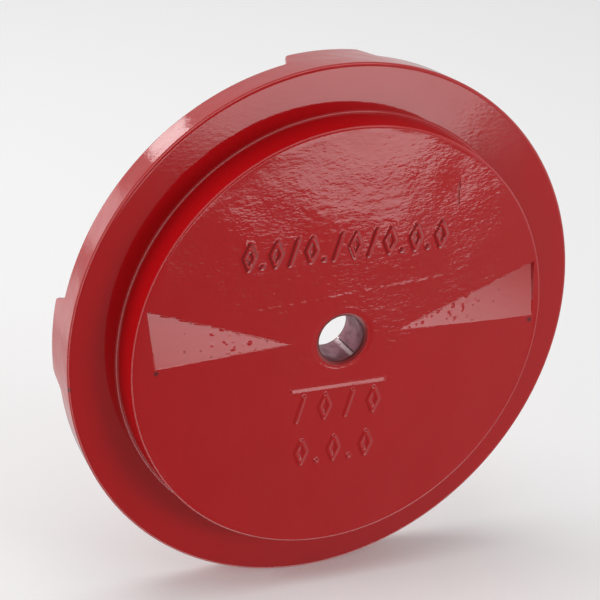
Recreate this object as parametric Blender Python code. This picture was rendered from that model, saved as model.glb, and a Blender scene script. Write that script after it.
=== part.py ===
"""Blanking disc: a cast cover plate with four rear lugs and a split steel bush in its bore.

The disc stands upright. World +Z is up and the boss face looks towards -Y. The origin is on the
bore axis, in the plane of the four lug ends, which is the rearmost plane of the disc.

Every piece is drawn about its own local Z axis, which is the bore axis, with local z = 0 in the
plane of the lug ends and +z towards the front. One empty turns them all upright. One lug stands
on each of the four sides, left, right, top and bottom, and the rows of marks run level.
"""

import math

import bmesh
import bpy

MM = 0.001

# Disc, from the bore outwards.
BUSH_BORE_RADIUS = 12.5 * MM
BUSH_WALL = 1.5 * MM
BUSH_GAP = 0.3 * MM
BOSS_RADIUS = 116.0 * MM
FLANGE_WIDTH = 26.6 * MM

# Disc, along the bore axis.
LUG_REACH = 12.2 * MM
RIM_THICKNESS = 18.8 * MM
BOSS_HEIGHT = 18.3 * MM
WEB_THICKNESS = 22.0 * MM
BOSS_WALL = 20.0 * MM

# Casting drafts and roundings.
BOSS_DRAFT = math.radians(1.5)
RIM_DRAFT = math.radians(6.0)
RECESS_DRAFT = math.radians(5.0)
EDGE_ROUND = 1.5 * MM
STEP_FILLET = 2.0 * MM
RECESS_FILLET = 5.0 * MM
ROUND_STEPS = 2

# Lugs.
LUG_COUNT = 4
LUG_THICKNESS = 20.0 * MM
LUG_INNER_DRAFT = 2.5 * MM
LUG_TIP_ANGLE = math.radians(15.5)
LUG_ROOT_ANGLE = math.radians(21.5)
LUG_END_STEPS = 4
SECTOR_STEPS = 20

# Bush.
BUSH_SETBACK = 1.4 * MM
BUSH_TAIL = 0.6 * MM
COUNTERSINK_FLARE = 0.9 * MM
BUSH_SLIT = 0.8 * MM
BUSH_SLIT_ANGLE = math.radians(-48.0)
BUSH_EDGE_BREAK = 0.25 * MM
BUSH_STEPS = 48

# Raised foundry marks on the boss face.
MARK_HEIGHT = 0.8 * MM
MARK_ROOT = 2.0 * MM
MARK_STROKE = 2.2 * MM
MARK_TALL = 14.5 * MM
LOZENGE_WIDTH = 7.6 * MM
LOZENGE_HOLE_WIDTH = 3.8 * MM
LOZENGE_HOLE_TALL = 7.2 * MM
BAR_LEAN = 4.0 * MM
PIP_SIDES = 8
UPPER_ROW_PITCH = 9.1 * MM
UPPER_ROW_Y = 52.2 * MM
UPPER_ROW = "L.LSL.SLSL.L.L"
BAR_Y = -26.0 * MM
BAR_LENGTH = 56.0 * MM
MIDDLE_ROW_Y = -37.0 * MM
MIDDLE_ROW = "SLSL"
MIDDLE_ROW_PITCH = 14.0 * MM
LOWER_ROW_Y = -62.0 * MM
LOWER_ROW = "L.L.L"
LOWER_ROW_PITCH = 11.5 * MM

# Edges sharper than this are shaded as edges.
SHARP_ANGLE = math.radians(35.0)

# Levels that follow from the sizes above.
RIM_BACK_Z = LUG_REACH
FLANGE_FACE_Z = RIM_BACK_Z + RIM_THICKNESS
BOSS_FACE_Z = FLANGE_FACE_Z + BOSS_HEIGHT
WEB_BACK_Z = BOSS_FACE_Z - WEB_THICKNESS
FLANGE_RADIUS = BOSS_RADIUS + FLANGE_WIDTH
CASTING_BORE_RADIUS = BUSH_BORE_RADIUS + BUSH_WALL + BUSH_GAP
RECESS_RADIUS = BOSS_RADIUS - BOSS_WALL


def polar(radius, angle, z):
    """A point at a radius and an angle round the bore axis."""
    return (radius * math.cos(angle), radius * math.sin(angle), z)


def rounded(corners, steps):
    """A closed outline from (r, z, round radius) corners, with an arc in place of each round one."""
    outline = []
    for here, (r, z, radius) in enumerate(corners):
        if radius == 0.0:
            outline.append((r, z))
            continue
        before = corners[here - 1]
        after = corners[(here + 1) % len(corners)]
        to_before = math.atan2(before[1] - z, before[0] - r)
        to_after = math.atan2(after[1] - z, after[0] - r)
        turn = (to_after - to_before + math.pi) % (2.0 * math.pi) - math.pi
        half = abs(turn) / 2.0
        middle = to_before + turn / 2.0
        centre_r = r + radius / math.sin(half) * math.cos(middle)
        centre_z = z + radius / math.sin(half) * math.sin(middle)
        sweep = math.copysign(math.pi - abs(turn), -turn)
        first = middle + math.pi - sweep / 2.0
        for step in range(steps + 1):
            angle = first + sweep * step / steps
            outline.append((centre_r + radius * math.cos(angle), centre_z + radius * math.sin(angle)))
    return outline


def casting_outline(reach):
    """The disc's section at an angle where the lug stands off the rim's back by reach."""
    boss_foot = BOSS_RADIUS + BOSS_HEIGHT * math.tan(BOSS_DRAFT)
    lug_end_z = RIM_BACK_Z - reach
    lug_outer = FLANGE_RADIUS - (FLANGE_FACE_Z - lug_end_z) * math.tan(RIM_DRAFT)
    lug_inner = FLANGE_RADIUS - FLANGE_FACE_Z * math.tan(RIM_DRAFT) - LUG_THICKNESS
    recess_foot = RECESS_RADIUS - (WEB_BACK_Z - RIM_BACK_Z) * math.tan(RECESS_DRAFT)
    mouth = CASTING_BORE_RADIUS + COUNTERSINK_FLARE
    return rounded(
        [
            (mouth, BOSS_FACE_Z, 0.0),
            (BOSS_RADIUS, BOSS_FACE_Z, EDGE_ROUND),
            (boss_foot, FLANGE_FACE_Z, STEP_FILLET),
            (FLANGE_RADIUS, FLANGE_FACE_Z, EDGE_ROUND),
            (lug_outer, lug_end_z, EDGE_ROUND),
            (lug_inner, lug_end_z, 0.0),
            (lug_inner - LUG_INNER_DRAFT, RIM_BACK_Z, 0.0),
            (RECESS_RADIUS, RIM_BACK_Z, EDGE_ROUND),
            (recess_foot, WEB_BACK_Z, RECESS_FILLET),
            (mouth, WEB_BACK_Z, 0.0),
            (CASTING_BORE_RADIUS, WEB_BACK_Z + BUSH_TAIL, 0.0),
            (CASTING_BORE_RADIUS, BOSS_FACE_Z - BUSH_SETBACK, 0.0),
        ],
        ROUND_STEPS,
    )


def lug_stations():
    """Angles round the disc with the lug's reach at each: a lug, its two sloping ends, and the gap."""
    sector = 2.0 * math.pi / LUG_COUNT
    half_tip = LUG_TIP_ANGLE / 2.0
    half_root = LUG_ROOT_ANGLE / 2.0
    stations = []
    for lug in range(LUG_COUNT):
        centre = lug * sector
        for step in range(LUG_END_STEPS):
            share = step / LUG_END_STEPS
            angle = centre - half_root + (half_root - half_tip) * share
            stations.append((angle, LUG_REACH * (1.0 - math.cos(math.pi * share)) / 2.0))
        for step in range(LUG_END_STEPS):
            angle = centre - half_tip + LUG_TIP_ANGLE * step / LUG_END_STEPS
            stations.append((angle, LUG_REACH))
        for step in range(LUG_END_STEPS):
            share = step / LUG_END_STEPS
            angle = centre + half_tip + (half_root - half_tip) * share
            stations.append((angle, LUG_REACH * (1.0 + math.cos(math.pi * share)) / 2.0))
        gap = sector - LUG_ROOT_ANGLE
        for step in range(SECTOR_STEPS):
            angle = centre + half_root + gap * step / SECTOR_STEPS
            stations.append((angle, 0.0))
    return stations


def swept_mesh(name, rings, closed):
    """A solid from rings of matching outline points, closed on itself or capped at both ends."""
    bm = bmesh.new()
    rows = [[bm.verts.new(point) for point in ring] for ring in rings]
    spans = len(rows) if closed else len(rows) - 1
    for here in range(spans):
        row = rows[here]
        following = rows[(here + 1) % len(rows)]
        for side in range(len(row)):
            beside = (side + 1) % len(row)
            bm.faces.new((row[side], row[beside], following[beside], following[side]))
    if not closed:
        bm.faces.new(rows[0])
        bm.faces.new(rows[-1])
    bmesh.ops.recalc_face_normals(bm, faces=bm.faces)
    mesh = bpy.data.meshes.new(name)
    bm.to_mesh(mesh)
    bm.free()
    return mesh


def add_prism(bm, outline, hole, bottom, top):
    """A straight-sided raised mark; hole is a second outline with as many points, or None."""
    levels = []
    for z in (bottom, top):
        outer = [bm.verts.new((x, y, z)) for x, y in outline]
        inner = [bm.verts.new((x, y, z)) for x, y in hole] if hole else None
        levels.append((outer, inner))
    count = len(outline)
    for side in range(count):
        beside = (side + 1) % count
        low_outer, low_inner = levels[0]
        top_outer, top_inner = levels[1]
        bm.faces.new((low_outer[side], low_outer[beside], top_outer[beside], top_outer[side]))
        if hole:
            bm.faces.new((low_inner[beside], low_inner[side], top_inner[side], top_inner[beside]))
            bm.faces.new((top_outer[side], top_outer[beside], top_inner[beside], top_inner[side]))
            bm.faces.new((low_outer[beside], low_outer[side], low_inner[side], low_inner[beside]))
    if not hole:
        bm.faces.new(levels[0][0][::-1])
        bm.faces.new(levels[1][0])


def lozenge(x, y, width, height):
    """The four corners of an upright lozenge, centred on (x, y)."""
    half_width = width / 2.0
    half_height = height / 2.0
    return [(x - half_width, y), (x, y - half_height), (x + half_width, y), (x, y + half_height)]


def bar(x, y, width, height, lean):
    """The four corners of a bar, centred on (x, y), whose head leans to the right of its foot."""
    foot = x - lean / 2.0
    head = x + lean / 2.0
    low = y - height / 2.0
    high = y + height / 2.0
    half = width / 2.0
    return [(foot - half, low), (foot + half, low), (head + half, high), (head - half, high)]


def pip(x, y, radius):
    """The corners of a small dot, centred on (x, y)."""
    turns = [2.0 * math.pi * side / PIP_SIDES for side in range(PIP_SIDES)]
    return [(x + radius * math.cos(turn), y + radius * math.sin(turn)) for turn in turns]


def add_row(bm, pattern, pitch, y):
    """One row of tally shapes: L is a lozenge ring, S a leaning bar, and a dot a pip at the foot."""
    bottom = BOSS_FACE_Z - MARK_ROOT
    top = BOSS_FACE_Z + MARK_HEIGHT
    places = [pitch / 2.0 if shape == "." else pitch for shape in pattern]
    x = -sum(places) / 2.0
    pip_y = y - (MARK_TALL - MARK_STROKE) / 2.0
    for shape, place_width in zip(pattern, places):
        middle = x + place_width / 2.0
        if shape == "L":
            outline = lozenge(middle, y, LOZENGE_WIDTH, MARK_TALL)
            hole = lozenge(middle, y, LOZENGE_HOLE_WIDTH, LOZENGE_HOLE_TALL)
            add_prism(bm, outline, hole, bottom, top)
        elif shape == "S":
            add_prism(bm, bar(middle, y, MARK_STROKE, MARK_TALL, BAR_LEAN), None, bottom, top)
        else:
            add_prism(bm, pip(middle, pip_y, MARK_STROKE / 2.0), None, bottom, top)
        x += place_width


def marks_mesh():
    """All the raised marks: three rows of tally shapes and one long bar."""
    bm = bmesh.new()
    add_row(bm, UPPER_ROW, UPPER_ROW_PITCH, UPPER_ROW_Y)
    add_row(bm, MIDDLE_ROW, MIDDLE_ROW_PITCH, MIDDLE_ROW_Y)
    add_row(bm, LOWER_ROW, LOWER_ROW_PITCH, LOWER_ROW_Y)
    long_bar = bar(0.0, BAR_Y, BAR_LENGTH, MARK_STROKE, 0.0)
    add_prism(bm, long_bar, None, BOSS_FACE_Z - MARK_ROOT, BOSS_FACE_Z + MARK_HEIGHT)
    bmesh.ops.recalc_face_normals(bm, faces=bm.faces)
    mesh = bpy.data.meshes.new("mark_shapes")
    bm.to_mesh(mesh)
    bm.free()
    return mesh


def casting_mesh():
    """The disc body: one section for each station, closed round the bore axis."""
    rings = []
    for angle, reach in lug_stations():
        rings.append([polar(r, angle, z) for r, z in casting_outline(reach)])
    return swept_mesh("flange_casting", rings, True)


def bush_mesh():
    """The bush: a rolled sleeve, open along its slit."""
    outer = BUSH_BORE_RADIUS + BUSH_WALL
    low = WEB_BACK_Z + BUSH_TAIL
    high = BOSS_FACE_Z - BUSH_SETBACK
    corner = BUSH_EDGE_BREAK
    section = [
        (BUSH_BORE_RADIUS, low + corner),
        (BUSH_BORE_RADIUS + corner, low),
        (outer - corner, low),
        (outer, low + corner),
        (outer, high - corner),
        (outer - corner, high),
        (BUSH_BORE_RADIUS + corner, high),
        (BUSH_BORE_RADIUS, high - corner),
    ]
    half_slit = BUSH_SLIT / 2.0 / outer
    start = BUSH_SLIT_ANGLE + half_slit
    sweep = 2.0 * math.pi - 2.0 * half_slit
    rings = []
    for step in range(BUSH_STEPS + 1):
        angle = start + sweep * step / BUSH_STEPS
        rings.append([polar(r, angle, z) for r, z in section])
    return swept_mesh("split_bush", rings, False)


def material(name, colour, roughness, metallic, coat):
    """A plain Principled material."""
    result = bpy.data.materials.new(name)
    result.use_nodes = True
    shader = result.node_tree.nodes["Principled BSDF"]
    shader.inputs["Base Color"].default_value = (*colour, 1.0)
    shader.inputs["Roughness"].default_value = roughness
    shader.inputs["Metallic"].default_value = metallic
    shader.inputs["Coat Weight"].default_value = coat
    result.diffuse_color = (*colour, 1.0)
    return result


def place(name, mesh, parent, look):
    """One named object on the disc's axis."""
    if look:
        mesh.materials.append(look)
    mesh.shade_smooth()
    mesh.set_sharp_from_angle(angle=SHARP_ANGLE)
    piece = bpy.data.objects.new(name, mesh)
    bpy.context.scene.collection.objects.link(piece)
    piece.parent = parent
    return piece


def main():
    for old in list(bpy.data.objects):
        bpy.data.objects.remove(old, do_unlink=True)

    axis = bpy.data.objects.new("bore_axis", None)
    bpy.context.scene.collection.objects.link(axis)
    axis.rotation_euler = (math.pi / 2.0, 0.0, 0.0)

    red_paint = material("red_paint", (0.40, 0.015, 0.018), 0.18, 0.0, 1.0)
    bare_steel = material("bare_steel", (0.36, 0.31, 0.32), 0.38, 1.0, 0.0)

    casting = place("flange_casting", casting_mesh(), axis, red_paint)
    place("split_bush", bush_mesh(), axis, bare_steel)

    marks = place("mark_shapes", marks_mesh(), axis, None)
    marks.hide_render = True
    marks.display_type = "WIRE"
    union = casting.modifiers.new("raised_marks", "BOOLEAN")
    union.operation = "UNION"
    union.solver = "EXACT"
    union.object = marks


main()
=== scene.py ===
# %% [markdown]
# # A blanking disc in thick red paint
#
# The real object is an iron casting: a round plate with a lower outer flange, a raised flat boss,
# four lugs on its back and one hole through the middle, lined with a rolled steel bush. It's dipped
# or sprayed in so much gloss paint that every edge is soft. The frame below is the measured CAD
# model, and each piece made here takes the place of the CAD solid of the same shape.

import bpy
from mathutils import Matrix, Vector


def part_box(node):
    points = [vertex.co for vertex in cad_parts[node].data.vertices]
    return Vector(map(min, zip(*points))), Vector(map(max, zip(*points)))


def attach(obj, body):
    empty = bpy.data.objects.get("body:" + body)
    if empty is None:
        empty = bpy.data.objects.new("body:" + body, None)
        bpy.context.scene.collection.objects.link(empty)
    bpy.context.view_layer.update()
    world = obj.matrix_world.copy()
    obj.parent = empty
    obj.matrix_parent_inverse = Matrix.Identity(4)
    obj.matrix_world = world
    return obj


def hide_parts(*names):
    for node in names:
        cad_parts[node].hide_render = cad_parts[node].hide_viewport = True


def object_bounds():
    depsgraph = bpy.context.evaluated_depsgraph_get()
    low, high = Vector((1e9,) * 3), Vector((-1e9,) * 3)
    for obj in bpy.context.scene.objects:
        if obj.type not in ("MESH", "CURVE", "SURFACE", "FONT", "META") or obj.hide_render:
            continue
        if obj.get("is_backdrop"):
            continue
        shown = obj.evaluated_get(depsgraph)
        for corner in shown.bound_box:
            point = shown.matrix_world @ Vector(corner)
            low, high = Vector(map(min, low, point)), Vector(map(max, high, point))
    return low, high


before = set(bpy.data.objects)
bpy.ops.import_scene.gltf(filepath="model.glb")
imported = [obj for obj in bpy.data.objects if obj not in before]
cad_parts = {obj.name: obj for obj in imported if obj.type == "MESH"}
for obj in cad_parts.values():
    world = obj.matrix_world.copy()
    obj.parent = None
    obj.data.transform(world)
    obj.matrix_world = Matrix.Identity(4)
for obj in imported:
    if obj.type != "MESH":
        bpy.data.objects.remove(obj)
cad_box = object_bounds()
print("pieces in the frame:", sorted(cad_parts))

# %% [markdown]
# ## Sizes
#
# All sizes are in metres, so MM turns a workshop size into one. The disc is drawn about its own Z
# axis, with z = 0 in the plane of the lug ends, and turned upright at the end. The outside radius
# and the height of the marks come from the frame's box, so that the finished piece can't grow out
# of it.

# %% Sizes of the casting
import math

import bmesh
import bpy
from mathutils import Matrix, Vector

MM = 0.001
LUG_REACH = 12.2 * MM
RIM_THICKNESS = 18.8 * MM
BOSS_HEIGHT = 18.3 * MM
WEB_THICKNESS = 22.0 * MM
BOSS_RADIUS = 116.0 * MM
RECESS_RADIUS = 96.0 * MM
BOSS_DRAFT = math.radians(1.5)
RIM_DRAFT = math.radians(6.0)
RECESS_DRAFT = math.radians(5.0)

FLANGE_FACE = LUG_REACH + RIM_THICKNESS
BOSS_FACE = FLANGE_FACE + BOSS_HEIGHT
WEB_BACK = BOSS_FACE - WEB_THICKNESS
FRAME_ROOM = 0.02 * MM
EDGE_BULGE = 0.16 * MM

low_corner, high_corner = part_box("flange_casting")
FLANGE_RADIUS = high_corner.x + EDGE_BULGE - FRAME_ROOM
MARK_TOP = -low_corner.y - BOSS_FACE - FRAME_ROOM
UPRIGHT = Matrix.Rotation(math.radians(90.0), 4, "X")
print(f"flange radius {FLANGE_RADIUS / MM:.2f} mm, marks {MARK_TOP / MM:.2f} mm high")

# %% [markdown]
# ## The camera
#
# It looks at the disc from its left and above, through a long lens, and is rolled a few degrees
# because the disc leans a little on its lugs. Making it early means that every later cell can be
# tried in a render at once.

# %% Camera
CAMERA_PLACE = Vector((-0.62313, -1.19658, 0.60847))
CAMERA_TARGET = Vector((-0.0260, -0.0493, 0.0255))
CAMERA_ROLL = math.radians(4.544)
LENS = 169.58

camera_data = bpy.data.cameras.new("camera")
camera_data.lens = LENS
camera_data.sensor_width = 36.0
camera = bpy.data.objects.new("camera", camera_data)
bpy.context.scene.collection.objects.link(camera)
aim = (CAMERA_TARGET - CAMERA_PLACE).to_track_quat("-Z", "Y").to_matrix().to_4x4()
roll = Matrix.Rotation(CAMERA_ROLL, 4, "Z")
camera.matrix_world = Matrix.Translation(CAMERA_PLACE) @ aim @ roll
bpy.context.scene.camera = camera
print("camera distance", round((CAMERA_TARGET - CAMERA_PLACE).length, 3), "m")

# %% [markdown]
# ## Arithmetic with nodes
#
# A node tree can hold a formula, but a formula spread over twenty Math nodes is hard to read. This
# small class stands for a number that flows through a tree. Adding or multiplying two of them makes
# the Math node and its links, so the cells below read like ordinary sums. It works in geometry
# trees and in shader trees alike.

# %% A number in a tree
class Flow:
    """A number that flows through a node tree."""

    def __init__(self, tree, socket):
        self.tree = tree
        self.socket = socket

    def math(self, operation, *others):
        node = self.tree.nodes.new("ShaderNodeMath")
        node.operation = operation
        feed(self.tree, node.inputs[0], self)
        for place, other in enumerate(others):
            feed(self.tree, node.inputs[place + 1], other)
        return Flow(self.tree, node.outputs[0])

    def __add__(self, other):
        return self.math("ADD", other)

    def __sub__(self, other):
        return self.math("SUBTRACT", other)

    def __mul__(self, other):
        return self.math("MULTIPLY", other)

    def __truediv__(self, other):
        return self.math("DIVIDE", other)

    def __rsub__(self, other):
        return self * -1.0 + other

    def size(self):
        return self.math("ABSOLUTE")

    def least(self, other):
        return self.math("MINIMUM", other)

    def most(self, other):
        return self.math("MAXIMUM", other)

    def ramp(self, start, end, low=0.0, high=1.0):
        """Goes smoothly from low at start to high at end, and stays level outside them."""
        node = self.tree.nodes.new("ShaderNodeMapRange")
        node.interpolation_type = "SMOOTHSTEP"
        for place, value in enumerate((self, start, end, low, high)):
            feed(self.tree, node.inputs[place], value)
        return Flow(self.tree, node.outputs[0])


def feed(tree, socket, value):
    """Gives an input socket a number or a flow."""
    if isinstance(value, Flow):
        tree.links.new(value.socket, socket)
    else:
        socket.default_value = value


def join_xyz(tree, x, y, z):
    """A vector socket from three numbers."""
    node = tree.nodes.new("ShaderNodeCombineXYZ")
    for place, value in enumerate((x, y, z)):
        feed(tree, node.inputs[place], value)
    return node.outputs[0]


def split_xyz(tree, vector):
    """Three flows from a vector socket."""
    node = tree.nodes.new("ShaderNodeSeparateXYZ")
    tree.links.new(vector, node.inputs[0])
    return [Flow(tree, output) for output in node.outputs]


def noise(tree, vector, scale, detail=2.0, roughness=0.5):
    """Smooth noise from 0 to 1; scale is in waves for each metre of the vector."""
    node = tree.nodes.new("ShaderNodeTexNoise")
    tree.links.new(vector, node.inputs["Vector"])
    node.inputs["Scale"].default_value = scale
    node.inputs["Detail"].default_value = detail
    node.inputs["Roughness"].default_value = roughness
    return Flow(tree, node.outputs["Fac"])


# %% [markdown]
# ## Building and running a geometry tree
#
# Each tree gets named inputs for its sizes, and ends in Realize Instances and Set Material. A
# modifier's inputs are set by each socket's identifier, before the object is first evaluated. Then
# the result is copied into a plain mesh and the modifier is taken off.

# %% Tree helpers
FLOAT = "NodeSocketFloat"
COUNT = "NodeSocketInt"


class GeometryTree:
    """A geometry node tree with a mesh input, named inputs and one output."""

    def __init__(self, name, inputs):
        self.tree = bpy.data.node_groups.new(name, "GeometryNodeTree")
        interface = self.tree.interface
        interface.new_socket("Geometry", in_out="INPUT", socket_type="NodeSocketGeometry")
        self.names = {}
        for label, kind in [*inputs, ("Material", "NodeSocketMaterial")]:
            socket = interface.new_socket(label, in_out="INPUT", socket_type=kind)
            self.names[label] = socket.identifier
        interface.new_socket("Geometry", in_out="OUTPUT", socket_type="NodeSocketGeometry")
        self.entry = self.tree.nodes.new("NodeGroupInput")
        self.mesh_in = self.entry.outputs["Geometry"]

    def value(self, label):
        return Flow(self.tree, self.entry.outputs[label])

    def node(self, kind, **sockets):
        """A node of a kind, its inputs fed by name, where _ stands for a space."""
        made = self.tree.nodes.new(kind)
        for label, source in sockets.items():
            socket = made.inputs[label.replace("_", " ")]
            if hasattr(source, "is_output"):
                self.tree.links.new(source, socket)
            else:
                feed(self.tree, socket, source)
        return made

    def finish(self, geometry):
        """Ends the tree in Realize Instances and Set Material."""
        real = self.node("GeometryNodeRealizeInstances", Geometry=geometry)
        painted = self.node("GeometryNodeSetMaterial", Geometry=real.outputs[0])
        self.tree.links.new(self.entry.outputs["Material"], painted.inputs["Material"])
        way_out = self.tree.nodes.new("NodeGroupOutput")
        self.tree.links.new(painted.outputs[0], way_out.inputs[0])
        return self

    def put_on(self, piece, values):
        """Adds the tree to an object as a modifier, with its inputs set."""
        modifier = piece.modifiers.new(self.tree.name, "NODES")
        modifier.node_group = self.tree
        for label, value in values.items():
            modifier[self.names[label]] = value


def new_piece(name, mesh):
    """An object in the scene at the origin."""
    piece = bpy.data.objects.new(name, mesh)
    bpy.context.scene.collection.objects.link(piece)
    return piece


def settle(piece):
    """Turns the result of an object's modifiers into its plain mesh."""
    view = bpy.context.evaluated_depsgraph_get()
    view.update()
    plain = bpy.data.meshes.new_from_object(piece.evaluated_get(view))
    piece.modifiers.clear()
    piece.data = plain
    return plain


def enclosed_volume(mesh):
    """Signed volume of a closed mesh; it's above zero when the faces point outwards."""
    shape = bmesh.new()
    shape.from_mesh(mesh)
    volume = shape.calc_volume(signed=True)
    open_edges = sum(1 for edge in shape.edges if not edge.is_manifold)
    shape.free()
    return volume, open_edges


# %% Empty finishes, filled in further down
red_paint = bpy.data.materials.new("red_paint")
bare_steel = bpy.data.materials.new("bare_steel")

# %% [markdown]
# ## The casting's section
#
# A turned shape starts as a section: one closed line from the bore, out over the boss and the
# flange, and home along the hollow back. Each corner has its own rounding, because a pattern maker
# gives every edge a radius and the paint adds to it. The number lug_share says how far a point
# moves when a lug grows out of the rim's back: 0 stays, 1 moves by the whole reach. Rings on the
# boss face lie closest where the raised marks are.

# %% Corners of the section
MOUTH_RADIUS = 14.5 * MM
BORE_RADIUS = 14.3 * MM
DISH_RADIUS = 16.9 * MM
DISH_FOOT = 16.2 * MM
DISH_DEPTH = 0.065 * MM
LIP_RADIUS = 12.75 * MM
LIP_FRONT = 1.15 * MM
LIP_BACK = 1.37 * MM
TAIL_DEPTH = 0.6 * MM
LUG_THICKNESS = 20.0 * MM
# How far out from the lug's inner side, in millimetres, and its share of the lug's reach there.
LUG_SHOULDER = [
    (2.0, 1.0), (0.5, 0.97), (-0.4, 0.86), (-1.2, 0.5), (-2.0, 0.14), (-2.9, 0.03), (-4.4, 0.0)
]
# The cast skin fades out between these two radii.
SKIN_FADES = 113.9 * MM
SKIN_ENDS = 114.5 * MM
# Each band of rings on the face: the radius where it ends, and how many rings it has.
RING_BANDS = [(24.0 * MM, 7), (82.0 * MM, 82), (SKIN_FADES, 18), (SKIN_ENDS, 1)]

boss_foot = BOSS_RADIUS + BOSS_HEIGHT * math.tan(BOSS_DRAFT)
rim_back = FLANGE_RADIUS - RIM_THICKNESS * math.tan(RIM_DRAFT)
lug_inner = FLANGE_RADIUS - FLANGE_FACE * math.tan(RIM_DRAFT) - LUG_THICKNESS
recess_foot = RECESS_RADIUS - (WEB_BACK - LUG_REACH) * math.tan(RECESS_DRAFT)


def boss_rings():
    """Radii of the rings on the boss face, from the mouth of the bore outwards."""
    radii = []
    start = DISH_RADIUS
    for end, count in RING_BANDS:
        radii += [start + (end - start) * step / count for step in range(count)]
        start = end
    return radii + [start]


# Each corner: radius, height, rounding, steps in that rounding, steps in the run after it, and its
# lug_share.
corners = [
    (MOUTH_RADIUS, BOSS_FACE - DISH_DEPTH, 0.4 * MM, 3, 2, 0.0),
    (DISH_FOOT, BOSS_FACE - DISH_DEPTH, 0.0, 0, 1, 0.0),
]
corners += [(radius, BOSS_FACE, 0.0, 0, 1, 0.0) for radius in boss_rings()]
corners += [
    (BOSS_RADIUS, BOSS_FACE, 1.3 * MM, 6, 3, 0.0),
    (boss_foot, FLANGE_FACE, 1.3 * MM, 5, 5, 0.0),
    (FLANGE_RADIUS, FLANGE_FACE, 1.5 * MM, 5, 4, 0.0),
    (rim_back, LUG_REACH, 1.6 * MM, 3, 2, 1.0),
]
corners += [(lug_inner + out * MM, LUG_REACH, 0.0, 0, 1, share) for out, share in LUG_SHOULDER]
corners += [
    (RECESS_RADIUS, LUG_REACH, 1.5 * MM, 2, 3, 0.0),
    (recess_foot, WEB_BACK, 5.0 * MM, 4, 3, 0.0),
    (MOUTH_RADIUS, WEB_BACK, 0.0, 0, 1, 0.0),
    (BORE_RADIUS, WEB_BACK + TAIL_DEPTH, 0.0, 0, 1, 0.0),
    (BORE_RADIUS, BOSS_FACE - LIP_BACK, 0.0, 0, 1, 0.0),
    (LIP_RADIUS, BOSS_FACE - LIP_BACK, 0.0, 0, 1, 0.0),
    (LIP_RADIUS, BOSS_FACE - LIP_FRONT, 0.0, 0, 2, 0.0),
]


# %% Rounding the corners
def rounding(before, corner, after):
    """Points of the arc that replaces a corner, or the corner itself where it's sharp."""
    r, z, radius, steps = corner[:4]
    if radius == 0.0:
        return [(r, z)]
    to_before = math.atan2(before[1] - z, before[0] - r)
    to_after = math.atan2(after[1] - z, after[0] - r)
    turn = (to_after - to_before + math.pi) % math.tau - math.pi
    middle = to_before + turn / 2.0
    reach = radius / math.sin(abs(turn) / 2.0)
    centre = (r + reach * math.cos(middle), z + reach * math.sin(middle))
    sweep = math.copysign(math.pi - abs(turn), -turn)
    first = middle + math.pi - sweep / 2.0
    angles = [first + sweep * step / steps for step in range(steps + 1)]
    return [(centre[0] + radius * math.cos(a), centre[1] + radius * math.sin(a)) for a in angles]


arcs = [
    rounding(corners[place - 1], corner, corners[(place + 1) % len(corners)])
    for place, corner in enumerate(corners)
]
# A run's first and last points stand this close to its corners, so that the edges keep their shape.
EDGE_SUPPORT = 0.35 * MM
MOST_SUPPORT = 0.3
section = []
for place, corner in enumerate(corners):
    following = (place + 1) % len(corners)
    share = corner[5]
    section += [(r, z, share) for r, z in arcs[place]]
    start = arcs[place][-1]
    end = arcs[following][0]
    length = math.hypot(end[0] - start[0], end[1] - start[1])
    held = min(EDGE_SUPPORT / max(length, EDGE_SUPPORT), MOST_SUPPORT)
    for step in range(1, corner[4]):
        part = held + (1.0 - 2.0 * held) * (step - 1) / max(corner[4] - 2, 1)
        section.append((
            start[0] + (end[0] - start[0]) * part,
            start[1] + (end[1] - start[1]) * part,
            share + (corners[following][5] - share) * part,
        ))
print(len(section), "points in the section")

# %% The section as an ordered line of points
section_mesh = bpy.data.meshes.new("casting_section")
section_mesh.from_pydata([(r, 0.0, z) for r, z, share in section], [], [])
shares = section_mesh.attributes.new("lug_share", "FLOAT", "POINT")
shares.data.foreach_set("value", [share for r, z, share in section])

# %% [markdown]
# ## Turning the casting
#
# The whole casting follows one rule: the section goes round the axis, and four times in a turn a
# lug swells out of the back. A Grid is bent round: its columns are angles and its rows are points
# of the section, read by Sample Index. The angles crowd together at the lugs, where the shape
# changes fastest. Merge by Distance closes the two seams, so the result is one watertight skin made
# only of quads.

# %% Tree that turns the section
SEAM_WIDTH = 0.002 * MM
turning = GeometryTree("turned_casting", [
    ("Angles", COUNT), ("Section points", COUNT), ("Crowding", FLOAT), ("Lug count", COUNT),
    ("Lug reach", FLOAT), ("Lug tip angle", FLOAT), ("Lug root angle", FLOAT), ("Rim taper", FLOAT),
])
tree = turning.tree
angles = turning.value("Angles")
points = turning.value("Section points")
sheet = turning.node(
    "GeometryNodeMeshGrid",
    Size_X=angles,
    Size_Y=points,
    Vertices_X=angles + 1.0,
    Vertices_Y=points + 1.0,
)
here = tree.nodes.new("GeometryNodeInputPosition").outputs[0]
column, row = split_xyz(tree, here)[:2]
column = (column + angles / 2.0).math("ROUND")
row = (row + points / 2.0).math("ROUND").math("MODULO", points)
turn = column / angles * math.tau
lugs = turning.value("Lug count")
angle = turn - (turn * lugs).math("SINE") * turning.value("Crowding") / lugs


def from_section(kind, data_type):
    """A reading of the section at this row: its place, or a named number."""
    if kind == "place":
        reading = tree.nodes.new("GeometryNodeInputPosition")
    else:
        reading = turning.node("GeometryNodeInputNamedAttribute")
        reading.data_type = data_type
        reading.inputs["Name"].default_value = kind
    sample = tree.nodes.new("GeometryNodeSampleIndex")
    sample.data_type = data_type
    tree.links.new(turning.mesh_in, sample.inputs["Geometry"])
    tree.links.new(reading.outputs[0], sample.inputs["Value"])
    feed(tree, sample.inputs["Index"], row)
    return sample.outputs[0]


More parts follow.
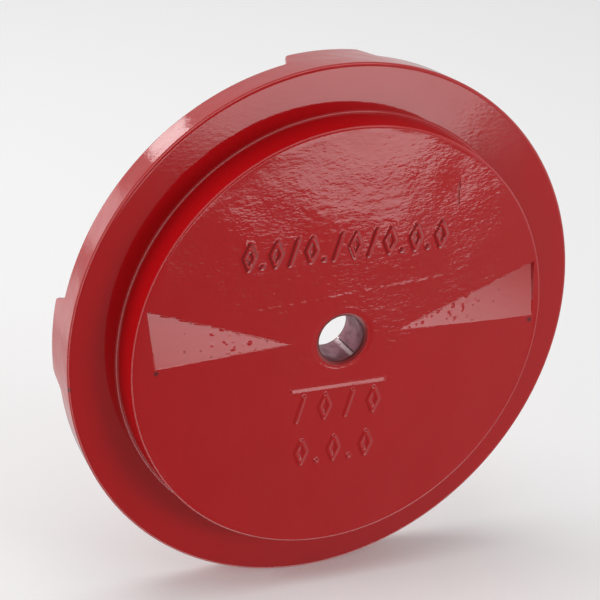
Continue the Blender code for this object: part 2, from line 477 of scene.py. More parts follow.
radius, unused, height = split_xyz(tree, from_section("place", "FLOAT_VECTOR"))
share = Flow(tree, from_section("lug_share", "FLOAT"))

# %% Lugs swell out of the rim's back
sector = lugs.math("POWER", -1.0) * math.tau
off_lug = angle.math("WRAP", sector / 2.0, sector / -2.0).size()
half_tip = turning.value("Lug tip angle") / 2.0
half_root = turning.value("Lug root angle") / 2.0
swell = ((half_root - off_lug) / (half_root - half_tip)).most(0.0).least(1.0)
reach = (swell * math.pi).math("COSINE") * -0.5 + 0.5
reach = reach * turning.value("Lug reach") * share
radius = radius - reach * turning.value("Rim taper")
height = height - reach
bent = turning.node(
    "GeometryNodeSetPosition",
    Geometry=sheet.outputs["Mesh"],
    Position=join_xyz(tree, radius * angle.math("COSINE"), radius * angle.math("SINE"), height),
)
closed = turning.node("GeometryNodeMergeByDistance", Geometry=bent.outputs[0], Distance=SEAM_WIDTH)
turning.finish(closed.outputs[0])
print(len(tree.nodes), "nodes in the turning tree")

# %% [markdown]
# ## Lines for the raised marks
#
# A foundry mark stands proud of the face, with its own sloping sides, and the paint rounds it over.
# Only plain tally shapes are used here: lozenge rings, leaning bars and dots in three rows, and one
# long bar. Geometry Nodes place the centre lines of the rows: a point stands for each mark, carries
# the number of its shape, and Pick Instance gives it that shape. The next tree raises the face near
# these lines, and raises the long bar from its own sizes, because its sides are straight and crisp.

# %% Where each mark stands
MARK_TALL = 14.5 * MM
# Each row: its marks, the pitch, the middle of the row from the axis, and its level.
ROWS = [
    ("L.LSL.SLSL.L.L", 9.8 * MM, -2.0 * MM, 52.2 * MM),
    ("SLSL", 14.0 * MM, 0.0, -37.0 * MM),
    ("L.L.L", 12.4 * MM, 0.0, -62.0 * MM),
]
SHAPES = "LS."
DOT_DROP = 6.15 * MM

anchors = []
for marks, pitch, centre, level in ROWS:
    widths = [pitch / 2.0 if mark == "." else pitch for mark in marks]
    left = centre - sum(widths) / 2.0
    for mark, width in zip(marks, widths):
        drop = DOT_DROP if mark == "." else 0.0
        anchors.append(((left + width / 2.0, level - drop, 0.0), SHAPES.index(mark)))
        left += width
anchor_mesh = bpy.data.meshes.new("mark_places")
anchor_mesh.from_pydata([place for place, shape in anchors], [], [])
shape_numbers = anchor_mesh.attributes.new("shape", "INT", "POINT")
shape_numbers.data.foreach_set("value", [shape for place, shape in anchors])
print(len(anchors), "marks")

# %% Tree that draws the marks' centre lines
lettering = GeometryTree("mark_lines", [
    ("Tall", FLOAT), ("Ring width", FLOAT), ("Lean", FLOAT), ("Dot", FLOAT),
])
tree = lettering.tree
half_tall = lettering.value("Tall") / 2.0
half_ring = lettering.value("Ring width") / 2.0
half_lean = lettering.value("Lean") / 2.0
half_dot = lettering.value("Dot") / 2.0


def stroke(*ends):
    """An open or closed run of straight lines through points given as (x, y) flows."""
    joined = tree.nodes.new("GeometryNodeJoinGeometry")
    for start, end in zip(ends, ends[1:]):
        line = tree.nodes.new("GeometryNodeCurvePrimitiveLine")
        tree.links.new(join_xyz(tree, *start, 0.0), line.inputs["Start"])
        tree.links.new(join_xyz(tree, *end, 0.0), line.inputs["End"])
        tree.links.new(line.outputs[0], joined.inputs[0])
    wire = lettering.node("GeometryNodeCurveToMesh", Curve=joined.outputs[0])
    return lettering.node("GeometryNodeGeometryToInstance", Geometry=wire.outputs[0]).outputs[0]


RING_SHARE = 0.88
LEAN_SHARE = 0.92
ring_tall = half_tall * RING_SHARE
ring_right = (half_ring, 0.0)
ring_left = (half_ring * -1.0, 0.0)
shapes = [
    stroke(ring_right, (0.0, ring_tall), ring_left, (0.0, ring_tall * -1.0), ring_right),
    stroke((half_lean * -1.0, half_tall * -LEAN_SHARE), (half_lean, half_tall * LEAN_SHARE)),
    stroke((half_dot * -1.0, 0.0), (half_dot, 0.0)),
]
choices = tree.nodes.new("GeometryNodeJoinGeometry")
for shape in reversed(shapes):
    tree.links.new(shape, choices.inputs[0])
number = tree.nodes.new("GeometryNodeInputNamedAttribute")
number.data_type = "INT"
number.inputs["Name"].default_value = "shape"
placed = lettering.node(
    "GeometryNodeInstanceOnPoints",
    Points=lettering.mesh_in,
    Instance=choices.outputs[0],
    Pick_Instance=True,
    Instance_Index=number.outputs[0],
)
lettering.finish(placed.outputs[0])

mark_lines = new_piece("mark_lines", anchor_mesh)
lettering.put_on(mark_lines, {
    "Tall": MARK_TALL, "Ring width": 5.7 * MM, "Lean": 3.6 * MM, "Dot": 0.5 * MM,
})
settle(mark_lines)
print(len(mark_lines.data.edges), "centre lines")

# %% [markdown]
# ## The skin of the cast face
#
# A sand casting is never flat. Under the paint the face has shallow lumps a few millimetres across,
# drawn out sideways, and longer waves that make a reflection wander. It also carries a faint
# scribed ridge and, on each side, a shallow three-cornered flat that tilts up to the light. All of
# this is moved into the mesh itself, so the shape is there from every side. The marks rise where a
# point is near one of their centre lines, which gives them the soft shoulders of thick paint.

# %% Tree that shapes the face
surfacing = GeometryTree("cast_face", [
    ("Mark lines", "NodeSocketObject"), ("Face height", FLOAT), ("Mark height", FLOAT),
    ("Stroke core", FLOAT), ("Stroke foot", FLOAT), ("Lump height", FLOAT), ("Wave height", FLOAT),
    ("Ridge height", FLOAT), ("Bar height", FLOAT), ("Flat tilt", FLOAT),
])
tree = surfacing.tree
place = tree.nodes.new("GeometryNodeInputPosition").outputs[0]
x, y, z = split_xyz(tree, place)
radius = (x * x + y * y).math("SQRT")
off_level = (z - surfacing.value("Face height")).size()
level_face = off_level.ramp(0.01 * MM, 0.02 * MM, 1.0, 0.0)
open_face = radius.ramp(DISH_RADIUS - 0.2 * MM, DISH_RADIUS + 1.5 * MM)
open_face = open_face * radius.ramp(SKIN_FADES, SKIN_ENDS, 1.0, 0.0) * level_face

# %% Raised marks
BAR_LEVEL = -26.0 * MM
BAR_HALF_LONG = 27.0 * MM
BAR_HALF_WIDE = 1.0 * MM
BAR_SIDE = 0.25 * MM
BAR_TILT = math.tan(math.radians(4.3))
# The lower marks stand less proud than the upper ones, with a slow change in between.
LOW_MARK_SHARE = 0.42
MARK_CHANGE = 20.0 * MM

lines = surfacing.node("GeometryNodeObjectInfo")
tree.links.new(surfacing.entry.outputs["Mark lines"], lines.inputs["Object"])
near = surfacing.node(
    "GeometryNodeProximity",
    Geometry=lines.outputs["Geometry"],
    Sample_Position=join_xyz(tree, x, y, 0.0),
)
near.target_element = "EDGES"
away = Flow(tree, near.outputs["Distance"])
mark = away.ramp(surfacing.value("Stroke core"), surfacing.value("Stroke foot"), 1.0, 0.0)
mark_share = y.ramp(-MARK_CHANGE, MARK_CHANGE, LOW_MARK_SHARE, 1.0)
mark_height = surfacing.value("Mark height") * mark_share

# %% Lumps, waves and the ridge
RIDGE_LEVEL = 24.7 * MM
RIDGE_SLOPE = 0.06
RIDGE_HALF_LONG = 58.0 * MM
RIDGE_TAPER = 6.0 * MM

drawn_out = join_xyz(tree, x * 0.62, y, z)
lumps = noise(tree, drawn_out, 260.0, 2.0, 0.55) - 0.5
patches = noise(tree, place, 26.0, 1.0).ramp(0.32, 0.62, 0.45, 1.0)
waves = noise(tree, place, 24.0, 1.0) - 0.5
off_ridge = (y - x * RIDGE_SLOPE - RIDGE_LEVEL).size()
ridge = off_ridge.ramp(0.2 * MM, 1.5 * MM, 1.0, 0.0)
ridge = ridge * x.size().ramp(RIDGE_HALF_LONG, RIDGE_HALF_LONG + RIDGE_TAPER, 1.0, 0.0)
ridge = ridge * noise(tree, place, 300.0).ramp(0.35, 0.6)

# %% Three-cornered flats
# Each flat hinges on its lower edge and sinks towards its upper one, where a short wall ends it.
# Its corners are the tip, the upper outer one and the lower outer one, as (x, y) in millimetres.
FLATS = [
    ((-28.5, 1.2), (-109.6, 30.0), (-103.6, -2.6)),
    ((31.0, 0.9), (109.5, 30.1), (111.9, -1.6)),
]
WALL = 0.4 * MM
# How much of the lumps and ripples is lost on the flats.
FLAT_CALM = 0.85


def beyond_edge(start, end):
    """How far a point lies to the left of the straight line from start to end."""
    run = end[0] - start[0]
    rise = end[1] - start[1]
    return ((y - start[1] * MM) * run - (x - start[0] * MM) * rise) / math.hypot(run, rise)


pocks = noise(tree, join_xyz(tree, x, y * 0.7, z), 420.0, 1.0)
ragged = (noise(tree, place, 500.0, 1.0) - 0.5) * MM
flat_depth = None
flat_area = None
scores = []
for tip, upper, lower in FLATS:
    side = math.copysign(1.0, upper[0])
    scores += [(tip, lower, side, 0.0), (upper, tip, side, WALL), (lower, upper, side, WALL)]
    over_foot = beyond_edge(tip, lower) * side
    under_top = beyond_edge(upper, tip) * side + ragged
    in_end = beyond_edge(lower, upper) * side
    inside = over_foot.ramp(-0.01 * MM, 0.01 * MM) * under_top.ramp(0.0, WALL)
    inside = inside * in_end.ramp(0.0, WALL)
    near_tip = x.size().ramp(40.0 * MM, 80.0 * MM, 1.0, 0.0)
    inside = inside * (1.0 - pocks.ramp(0.63, 0.72) * near_tip)
    depth = over_foot.most(0.0) * surfacing.value("Flat tilt") * inside
    flat_depth = depth if flat_depth is None else flat_depth + depth
    flat_area = inside if flat_area is None else flat_area.most(inside)

# %% The face is moved along the axis
skin = lumps * surfacing.value("Lump height") * patches + waves * surfacing.value("Wave height")
skin = skin * (flat_area * -FLAT_CALM + 1.0)
above_bar = y - BAR_LEVEL
bar_area = above_bar.size().ramp(BAR_HALF_WIDE, BAR_HALF_WIDE + BAR_SIDE, 1.0, 0.0)
bar_area = bar_area * x.size().ramp(BAR_HALF_LONG, BAR_HALF_LONG + BAR_SIDE, 1.0, 0.0)
bar = (surfacing.value("Bar height") - above_bar * BAR_TILT) * bar_area
skin = skin * (1.0 - bar_area)
ridge = ridge * surfacing.value("Ridge height")
lift = mark * mark_height + bar + skin + ridge - flat_depth
lift = (lift * open_face).least(surfacing.value("Mark height"))
noted = surfacing.mesh_in
for label, value in (("mark", mark * open_face), ("flat", flat_area * open_face)):
    stored = surfacing.node("GeometryNodeStoreNamedAttribute", Geometry=noted, Value=value)
    stored.inputs["Name"].default_value = label
    noted = stored.outputs[0]
raised = surfacing.node(
    "GeometryNodeSetPosition", Geometry=noted, Offset=join_xyz(tree, 0.0, 0.0, lift)
)
smooth = surfacing.node("GeometryNodeSetShadeSmooth", Geometry=raised.outputs[0])
surfacing.finish(smooth.outputs[0])
print(len(tree.nodes), "nodes in the face tree")

# %% [markdown]
# ## Making the casting
#
# The object starts as the section line, and the first tree turns it into a disc. Before the second
# tree shapes its face, the straight outlines of the flats and of the long bar are scored into the
# mesh, so that it has edges exactly where the shape breaks and the steps come out crisp. At the end
# the mesh is turned upright, so the finished object sits at the origin, unturned.

# %% Casting
ANGLE_COUNT = 540
casting = new_piece("painted_casting", section_mesh)
turning.put_on(casting, {
    "Angles": ANGLE_COUNT,
    "Section points": len(section),
    "Crowding": 0.25,
    "Lug count": 4,
    "Lug reach": LUG_REACH - FRAME_ROOM,
    "Lug tip angle": math.radians(15.5),
    "Lug root angle": math.radians(21.5),
    "Rim taper": math.tan(RIM_DRAFT),
    "Material": red_paint,
})
settle(casting)

# %% Scoring the straight outlines
SUPPORT = 0.3 * MM
MARGIN = 1.5 * MM


def score_face(shape, point, across, offsets, inside):
    """Cuts the boss face along lines parallel to one through a point, where inside(x, y) holds."""
    for offset in offsets:
        faces = []
        for face in shape.faces:
            middle = face.calc_center_bounds()
            if abs(middle.z - BOSS_FACE) < 0.01 * MM and inside(middle.x, middle.y):
                faces.append(face)
        parts = {part for face in faces for part in (*face.verts, *face.edges)}
        bmesh.ops.bisect_plane(
            shape,
            geom=[*faces, *parts],
            dist=0.001 * MM,
            plane_co=point + across * offset,
            plane_no=across,
        )


shape = bmesh.new()
shape.from_mesh(casting.data)
faces_before = len(shape.faces)
for start, end, side, wall in scores:
    start = Vector((*start, 0.0)) * MM
    end = Vector((*end, 0.0)) * MM
    along = end - start
    across = Vector((-along.y, along.x, 0.0)).normalized() * side
    low = min(start.y, end.y) - MARGIN
    high = max(start.y, end.y) + MARGIN
    inner = min(abs(start.x), abs(end.x)) - MARGIN
    offsets = sorted({-SUPPORT, 0.0, wall, wall + SUPPORT})
    score_face(
        shape, start, across, offsets,
        lambda px, py: low < py < high and px * start.x > 0.0 and abs(px) > inner,
    )
upward = Vector((0.0, 1.0, 0.0))
bar_edges = [
    BAR_HALF_WIDE - 0.2 * MM,
    BAR_HALF_WIDE,
    BAR_HALF_WIDE + BAR_SIDE,
    BAR_HALF_WIDE + 2.0 * BAR_SIDE,
]
bar_offsets = [edge * side for edge in bar_edges for side in (-1.0, 1.0)]
score_face(
    shape, upward * BAR_LEVEL, upward, bar_offsets,
    lambda px, py: abs(px) < BAR_HALF_LONG + MM and abs(py - BAR_LEVEL) < 3.0 * MM,
)
print(f"{faces_before} faces before scoring, {len(shape.faces)} after")
shape.to_mesh(casting.data)
shape.free()

# %% The face shaped, and the casting turned upright
surfacing.put_on(casting, {
    "Mark lines": mark_lines,
    "Face height": BOSS_FACE,
    "Mark height": MARK_TOP,
    "Stroke core": 0.6 * MM,
    "Stroke foot": 1.4 * MM,
    "Lump height": 0.075 * MM,
    "Wave height": 0.36 * MM,
    "Ridge height": 0.035 * MM,
    "Bar height": 0.2 * MM,
    "Flat tilt": math.tan(math.radians(3.25)),
    "Material": red_paint,
})
casting_mesh = settle(casting)
volume, open_edges = enclosed_volume(casting_mesh)
if volume < 0.0:
    casting_mesh.flip_normals()
casting_mesh.transform(UPRIGHT)
casting_mesh.set_sharp_from_angle(angle=math.radians(50.0))
bpy.data.objects.remove(mark_lines)
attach(casting, "root")
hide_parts("flange_casting")
casting_triangles = sum(len(face.vertices) - 2 for face in casting_mesh.polygons)
volume_cm3 = abs(volume) * 1e6
print(f"casting: {casting_triangles} triangles, {volume_cm3:.0f} cm3, {open_edges} open edges")

# %% [markdown]
# ## The bush
#
# The bore is lined with a strip of steel, rolled into a sleeve and pressed in, so a narrow slit
# runs along it where its two ends meet. It's swept in plain mesh code: one small section, with its
# edges broken, is copied round the axis from one lip of the slit to the other, and both ends are
# capped.

# %% Rolled bush
BUSH_BORE = 12.5 * MM
BUSH_OUTSIDE = 14.0 * MM
EDGE_BREAK = 0.25 * MM
SLIT = 0.8 * MM
SLIT_ANGLE = math.radians(-48.0)
BUSH_STEPS = 200

low_corner, high_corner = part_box("split_bush")
front = -low_corner.y
back = -high_corner.y
bush_front_y = low_corner.y
bush_back_y = high_corner.y
half_slit = SLIT / 2.0 / BUSH_OUTSIDE
quarter = [math.radians(degrees) for degrees in (0.0, 30.0, 60.0, 90.0)]
bush_section = []
for centre_r, centre_z, first in (
    (BUSH_OUTSIDE - EDGE_BREAK, front - EDGE_BREAK, 0.0),
    (BUSH_BORE + EDGE_BREAK, front - EDGE_BREAK, math.pi / 2.0),
    (BUSH_BORE + EDGE_BREAK, back + EDGE_BREAK, math.pi),
    (BUSH_OUTSIDE - EDGE_BREAK, back + EDGE_BREAK, math.pi * 1.5),
):
    for turned in quarter:
        bush_section.append((
            centre_r + EDGE_BREAK * math.cos(first + turned),
            centre_z + EDGE_BREAK * math.sin(first + turned),
        ))

sleeve = bmesh.new()
rings = []
for step in range(BUSH_STEPS + 1):
    angle = SLIT_ANGLE + half_slit + (math.tau - 2.0 * half_slit) * step / BUSH_STEPS
    ring = [(r * math.cos(angle), r * math.sin(angle), z) for r, z in bush_section]
    rings.append([sleeve.verts.new(point) for point in ring])
for ring, next_ring in zip(rings, rings[1:]):
    for side in range(len(ring)):
        beside = (side + 1) % len(ring)
        sleeve.faces.new((ring[side], ring[beside], next_ring[beside], next_ring[side]))
sleeve.faces.new(rings[0])
sleeve.faces.new(rings[-1])
bmesh.ops.recalc_face_normals(sleeve, faces=sleeve.faces)
bush_mesh = bpy.data.meshes.new("rolled_bush")
sleeve.to_mesh(bush_mesh)
sleeve.free()
bush_mesh.transform(UPRIGHT)
bush_mesh.shade_smooth()
bush_mesh.set_sharp_from_angle(angle=math.radians(40.0))
bush_mesh.materials.append(bare_steel)
bush = new_piece("rolled_bush", bush_mesh)
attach(bush, "root")
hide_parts("split_bush")
print(f"bush: {(front - back) / MM:.1f} mm long, slit {SLIT / MM:.1f} mm wide")

# %% [markdown]
# ## Specks
#
# Both finishes carry small dark specks: pits and dust under the paint, and rust spots on the steel.
# It would be a waste to build them twice, so they're one shader node group with a size and an
# amount. The group only puts out a mask. The shaders stay in each material.

# %% Shader group of specks
specks = bpy.data.node_groups.new("specks", "ShaderNodeTree")
specks.interface.new_socket("Place", in_out="INPUT", socket_type="NodeSocketVector")
specks.interface.new_socket("For each metre", in_out="INPUT", socket_type=FLOAT)
specks.interface.new_socket("Speck size", in_out="INPUT", socket_type=FLOAT)
specks.interface.new_socket("Mask", in_out="OUTPUT", socket_type=FLOAT)
entry = specks.nodes.new("NodeGroupInput")
cells = specks.nodes.new("ShaderNodeTexVoronoi")
specks.links.new(entry.outputs["Place"], cells.inputs["Vector"])
specks.links.new(entry.outputs["For each metre"], cells.inputs["Scale"])
from_cell = Flow(specks, cells.outputs["Distance"])
chance = split_xyz(specks, cells.outputs["Color"])[0]
size = Flow(specks, entry.outputs["Speck size"]) * chance.ramp(0.72, 1.0)
mask = 1.0 - (from_cell / (size + 0.0001)).ramp(0.5, 1.0)
way_out = specks.nodes.new("NodeGroupOutput")
specks.links.new((mask * chance.ramp(0.72, 0.75)).socket, way_out.inputs["Mask"])
print(len(specks.nodes), "nodes in the speck group")


def speck_mask(tree, vector, each_metre, size):
    """The group placed in a material with its own values."""
    node = tree.nodes.new("ShaderNodeGroup")
    node.node_tree = specks
    tree.links.new(vector, node.inputs["Place"])
    node.inputs["For each metre"].default_value = each_metre
    node.inputs["Speck size"].default_value = size
    return Flow(tree, node.outputs["Mask"])


def start_finish(material):
    """A material's tree, its Principled shader and its Object coordinates."""
    material.use_nodes = True
    tree = material.node_tree
    place = tree.nodes.new("ShaderNodeTexCoord").outputs["Object"]
    return tree, tree.nodes["Principled BSDF"], place


def blend(tree, amount, plain, other):
    """A colour that goes from plain to other; each may be a colour or a socket."""
    node = tree.nodes.new("ShaderNodeMix")
    node.data_type = "RGBA"
    feed(tree, node.inputs[0], amount)
    for socket, colour in ((node.inputs[6], plain), (node.inputs[7], other)):
        if hasattr(colour, "is_output"):
            tree.links.new(colour, socket)
        else:
            socket.default_value = (*colour, 1.0)
    return node.outputs[2]


def roughen(tree, height):
    """A Bump node fed with a height in metres."""
    node = tree.nodes.new("ShaderNodeBump")
    node.inputs["Distance"].default_value = 1.0
    feed(tree, node.inputs["Height"], height)
    return node.outputs[0]


# %% [markdown]
# ## Red paint
#
# Gloss paint could be made with the Principled shader's coat, but the coat keeps its own normal, so
# the bump below wouldn't show in the shine. Here one glossy layer does both jobs: its colour is the
# paint's, and its low roughness gives the shine. The paint follows the lumps of the sand casting,
# and its own surface has a finer orange peel, so both go into the bump. Painted shade darkens the
# colour round the marks, more on the upper ones, and in the mouth of the bore, where the paint is
# duller too, and a thin dark line of painted shade rings the lip of the bore. A few pits, two dark
# drips, a chip and a scar are left from casting and handling.

# %% Paint
PAINT = (0.375, 0.0035, 0.0055)
DEEP_PAINT = (0.30, 0.0015, 0.003)
# Dark red for the painted shade round the marks and in the bore's mouth, and for the scar.
SHADE_AND_SCAR_PAINT = (0.09, 0.001, 0.0015)
SHADED_PAINT = (0.02, 0.0005, 0.0008)
PIT = (0.05, 0.012, 0.014)
# Two drips and a chip, as places in millimetres.
SPOTS = [(-102.8, -49.3, -4.8), (110.4, -49.3, -3.6), (-140.8, -30.0, -17.0)]
SCAR_X = 60.2 * MM
SCAR_MIDDLE = 73.5 * MM
# Just behind the boss face, and just behind the flange face.
BEHIND_FACE = (-48.0 * MM, -46.5 * MM)
BEHIND_FLANGE = (-30.5 * MM, -29.0 * MM)

tree, paint, place = start_finish(red_paint)
x, y, z = split_xyz(tree, place)
marked = tree.nodes.new("ShaderNodeAttribute")
marked.attribute_name = "mark"
mark = Flow(tree, marked.outputs["Fac"])
levelled = tree.nodes.new("ShaderNodeAttribute")
levelled.attribute_name = "flat"
flat = Flow(tree, levelled.outputs["Fac"])
cloud = noise(tree, place, 18.0, 3.0)
# Painted shade round the foot of the marks, stronger on the upper marks.
mark_shade = mark.ramp(0.0, 0.3) * mark.ramp(0.45, 0.95, 1.0, 0.0)
colour = blend(tree, cloud.ramp(0.3, 0.7) * 0.25, PAINT, DEEP_PAINT)
colour = blend(tree, mark_shade * z.ramp(-0.02, 0.02, 0.35, 0.75), colour, SHADE_AND_SCAR_PAINT)
from_axis = (x * x + z * z).math("SQRT")
# Painted shade in the mouth of the bore; the same mask makes the paint there duller.
in_mouth = from_axis.ramp(12.8 * MM, 13.3 * MM, 1.0, 0.6)
in_mouth = in_mouth * from_axis.ramp(MOUTH_RADIUS, MOUTH_RADIUS + 0.4 * MM, 1.0, 0.0)
colour = blend(tree, in_mouth, colour, SHADE_AND_SCAR_PAINT)
# A thin dark line of painted shade round the lip of the bore.
lip_line = from_axis.ramp(12.9 * MM, 13.5 * MM, 1.0, 0.0)
colour = blend(tree, lip_line, colour, SHADED_PAINT)
pits = speck_mask(tree, place, 330.0, 0.22) * (flat * 0.6 + 0.02)
stains = pits
for spot in SPOTS:
    off = [(flow - along * MM) for flow, along in zip((x, y, z), spot)]
    distance = (off[0] * off[0] + off[1] * off[1] + off[2] * off[2]).math("SQRT")
    stains = stains.most(distance.ramp(0.4 * MM, 2.0 * MM, 0.85, 0.0))
wander = (noise(tree, place, 220.0, 1.0) - 0.5) * (3.0 * MM)
scar = (x + wander - SCAR_X).size().ramp(0.1 * MM, 0.7 * MM, 1.0, 0.0)
scar = scar * (z - SCAR_MIDDLE).size().ramp(5.0 * MM, 9.0 * MM, 1.0, 0.0)
scar = scar * y.ramp(-48.0 * MM, -47.0 * MM, 1.0, 0.0)
colour = blend(tree, scar * 0.8, colour, SHADE_AND_SCAR_PAINT)
tree.links.new(blend(tree, stains, colour, PIT), paint.inputs["Base Color"])

# %% Bump and shine of the paint
on_rim = y.ramp(*BEHIND_FLANGE)
rough_share = y.ramp(*BEHIND_FACE, 1.0, 0.35) + on_rim * 1.3
lumps = noise(tree, join_xyz(tree, x * 0.55, y, z), 520.0, 1.0)
ripples = noise(tree, join_xyz(tree, x * 0.5, y, z), 950.0, 1.0)
peel = noise(tree, place, 1800.0, 1.0)
sags = noise(tree, place, 70.0, 1.0) * on_rim
patches = noise(tree, place, 45.0, 1.0).ramp(0.35, 0.65, 0.5, 1.0)
rough_cast = (lumps * (0.036 * MM) + ripples * (0.020 * MM)) * (flat * -FLAT_CALM + 1.0)
rough_cast = rough_cast * rough_share * patches
skin = rough_cast + peel * (0.0015 * MM) + sags * (0.35 * MM)
skin = skin - pits * (0.08 * MM) - scar * (0.12 * MM)
tree.links.new(roughen(tree, skin), paint.inputs["Normal"])
feed(tree, paint.inputs["Roughness"], cloud.ramp(0.3, 0.7, 0.045, 0.075) + in_mouth * 0.45)
paint.inputs["IOR"].default_value = 1.5
red_paint.diffuse_color = (*PAINT, 1.0)
print(len(tree.nodes), "nodes in the paint")

# %% [markdown]
# ## Bare steel
#
# The sleeve is rolled strip, left unpainted; both its colours are tinted pink, a painted reflection
# of the red paint round it. Rolling leaves fine lines along it, so the noise is drawn out along the
# bore. A thin brown film and a few rust specks come from damp air, and the back end has rusted. A
# pale painted highlight runs along one lip of the slit, and the front end has caught some of the
# paint, drawn dark as painted shade of the gap round the bore.

# %% Steel
# Both steel colours carry a pink tint, a painted reflection of the red paint round the bore.
STEEL = (0.28, 0.125, 0.155)
STAINED_STEEL = (0.19, 0.07, 0.085)
SLIT_HIGHLIGHT_STEEL = (0.55, 0.42, 0.43)
OVERSPRAY_AND_SHADE = (0.16, 0.002, 0.003)
RUST = (0.12, 0.045, 0.03)
ALONG = 0.06

tree, steel, place = start_finish(bare_steel)
x, y, z = split_xyz(tree, place)
lines = noise(tree, join_xyz(tree, x, y * ALONG, z), 1400.0, 2.0, 0.6)
slit_x = math.cos(SLIT_ANGLE)
slit_z = math.sin(SLIT_ANGLE)
ragged = (noise(tree, place, 900.0) - 0.5) * (1.6 * MM)
beside_slit = x * slit_z - z * slit_x + ragged
towards_slit = x * slit_x + z * slit_z
# A pale painted highlight along one lip of the slit.
slit_highlight = beside_slit.ramp(0.3 * MM, 0.8 * MM) * beside_slit.ramp(1.8 * MM, 3.2 * MM, 1.0, 0.0)
slit_highlight = slit_highlight * towards_slit.ramp(0.0, 1.0 * MM)
slit_highlight = slit_highlight * noise(tree, place, 500.0).ramp(0.25, 0.5, 0.3, 1.0)
film = noise(tree, place, 160.0, 2.0).ramp(0.38, 0.66)
colour = blend(tree, film * 0.7, STEEL, STAINED_STEEL)
colour = blend(tree, slit_highlight * 0.8, colour, SLIT_HIGHLIGHT_STEEL)
rust = speck_mask(tree, place, 700.0, 0.4)
colour = blend(tree, rust * 0.8, colour, RUST)
# The paint caught on the front end, darkened as painted shade of the gap round the bore.
lip = y.ramp(bush_front_y + 0.3 * MM, bush_front_y + 0.5 * MM, 1.0, 0.0)
tail = y.ramp(bush_back_y - 0.9 * MM, bush_back_y - 0.5 * MM)
colour = blend(tree, tail * 0.8, colour, RUST)
tree.links.new(blend(tree, lip, colour, OVERSPRAY_AND_SHADE), steel.inputs["Base Color"])
feed(tree, steel.inputs["Metallic"], (1.0 - rust * 0.7) * (1.0 - lip))
feed(tree, steel.inputs["Roughness"], film * 0.14 + lines * 0.16 + 0.26)
tree.links.new(roughen(tree, lines * (0.006 * MM)), steel.inputs["Normal"])
bare_steel.diffuse_color = (*STEEL, 1.0)
print(len(tree.nodes), "nodes in the steel")

# %% [markdown]
# ## A plain studio
#
# The disc stands on a pale floor, under a large soft light overhead and two smaller ones, at its
# side and in front. What a gloss surface shows is the room, so the room is written as a formula of
# direction in the world shader: a pale sheet of light in front, a dim band round it, and soft
# windows and dark corners behind. The floor is left out of reflections, because the world shader
# already stands for it.

# %% Floor
FLOOR_REACH = 9.0
NEAR_GREY = (0.80, 0.80, 0.80)
FAR_GREY = (0.93, 0.93, 0.93)

floor_level = cad_box[0].z
floor_data = bpy.data.meshes.new("floor")
floor_corners = [
    (along * FLOOR_REACH, deep * FLOOR_REACH, floor_level)
    for along, deep in ((-1.0, -1.0), (1.0, -1.0), (1.0, 1.0), (-1.0, 1.0))
]
floor_data.from_pydata(floor_corners, [], [(0, 1, 2, 3)])
floor = new_piece("floor", floor_data)
floor.visible_glossy = False
floor_paint = bpy.data.materials.new("floor_paint")
tree, pale, place = start_finish(floor_paint)
# The floor is painted lighter towards the back, a painted fall of light across it.
far = split_xyz(tree, place)[1].ramp(-0.25, 0.9)
tree.links.new(blend(tree, far, NEAR_GREY, FAR_GREY), pale.inputs["Base Color"])
# A faint glow is painted on the floor, though it is no lamp.
pale.inputs["Emission Color"].default_value = (1.0, 1.0, 1.0, 1.0)
pale.inputs["Emission Strength"].default_value = 0.09
pale.inputs["Roughness"].default_value = 0.9
pale.inputs["Specular IOR Level"].default_value = 0.0
floor_data.materials.append(floor_paint)
floor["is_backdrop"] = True
print(f"floor at {floor_level / MM:.1f} mm")

# %% Soft lights
def soft_light(name, place, size, power):
    """A square area light at a place, turned to the disc; it doesn't show in the paint."""
    lamp = bpy.data.lights.new(name, "AREA")
    lamp.size = size
    lamp.energy = power
    holder = bpy.data.objects.new(name, lamp)
    bpy.context.scene.collection.objects.link(holder)
    holder.location = place
    holder.rotation_euler = (-Vector(place)).to_track_quat("-Z", "Y").to_euler()
    holder.visible_camera = False
    holder.visible_glossy = False


soft_light("overhead", (-0.2, 0.1, 1.6), 1.6, 17.0)
soft_light("side", (-1.5, 0.35, 0.15), 0.5, 9.0)
soft_light("key", (1.2, -1.6, 0.25), 0.8, 15.0)
print(len(bpy.data.lights), "soft lights")

# %% The room as a formula of direction
world = bpy.data.worlds.new("studio")
bpy.context.scene.world = world
world.use_nodes = True
tree = world.node_tree
tree.nodes.clear()
toward = tree.nodes.new("ShaderNodeTexCoord").outputs["Generated"]
dx, dy, dz = split_xyz(tree, toward)

# The sheet's two lower edges are straight lines across the room and meet in a blunt corner.
edge = dz + (dx - 0.392) * 0.45 + 0.356
right_edge = dz - (dx - 0.478) * 1.25 + 0.357
sheet = edge.ramp(-0.014, 0.006) * edge.ramp(0.06, 0.12, 1.0, 0.0) * dx.ramp(-0.1, 0.2)
sheet = sheet * right_edge.ramp(-0.006, 0.012)
sheet_glow = edge.ramp(0.0, 0.05, 3.0, 3.9)
dim = (dx - 0.35).most(0.0) * 1.8 + 0.30
ahead = dim + (sheet_glow - dim) * sheet


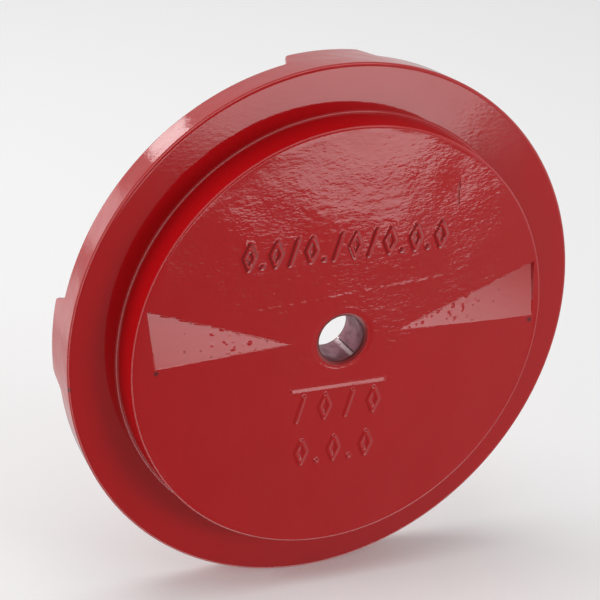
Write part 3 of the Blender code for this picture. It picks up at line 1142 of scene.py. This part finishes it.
def window(direction, inner, outer):
    """1 within a cone round a direction, falling softly to 0 outside it."""
    direction = Vector(direction).normalized()
    towards = dx * direction.x + dy * direction.y + dz * direction.z
    return towards.ramp(math.cos(math.radians(outer)), math.cos(math.radians(inner)))


strip = dy.ramp(-0.60, -0.45) * dy.ramp(-0.25, -0.10, 1.0, 0.0) * dx.ramp(0.55, 0.70, 1.0, 0.0)
ahead = ahead + strip * 3.0
# Each bright window behind: direction, inner and outer angle, and how bright it is.
BRIGHT_WINDOWS = [
    ((-0.168, 0.94, 0.298), 3.5, 6.0, 3.6),
    ((-0.354, 0.935, 0.025), 3.0, 8.0, 1.1),
    ((-0.287, 0.908, -0.306), 3.0, 8.0, 0.5),
]
# Each dark corner: direction, and the share of the light that it takes away.
DARK_CORNERS = [
    ((0.42, 0.80, -0.43), 0.3),
    ((0.91, 0.03, -0.42), 0.85),
    ((0.43, 0.02, -0.90), 0.85),
]
BACK_GLOW = 0.85

behind = BACK_GLOW
for direction, inner, outer, brightness in BRIGHT_WINDOWS:
    behind = window(direction, inner, outer) * brightness + behind
for direction, depth in DARK_CORNERS:
    behind = behind * (1.0 - window(direction, 9.0, 24.0) * depth)
reflected = ahead + (behind - ahead) * dy.ramp(-0.35, 0.1)

ray = tree.nodes.new("ShaderNodeLightPath")
seen = Flow(tree, ray.outputs["Is Camera Ray"])
glossy = Flow(tree, ray.outputs["Is Glossy Ray"])
AMBIENT = 0.41
BACKDROP = 0.90
glow = reflected * glossy + (1.0 - glossy) * AMBIENT
glow = glow + (seen * (glow * -1.0 + BACKDROP))
background = tree.nodes.new("ShaderNodeBackground")
feed(tree, background.inputs["Strength"], glow)
room = tree.nodes.new("ShaderNodeOutputWorld")
tree.links.new(background.outputs[0], room.inputs["Surface"])
background.inputs["Color"].default_value = (1.0, 1.0, 1.0, 1.0)
bpy.context.scene.view_settings.view_transform = "Standard"
print(len(tree.nodes), "nodes in the room")

model_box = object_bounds()
for label, corner in (("cad", cad_box), ("visual", model_box)):
    print(label, [[round(value / MM, 3) for value in end] for end in corner])
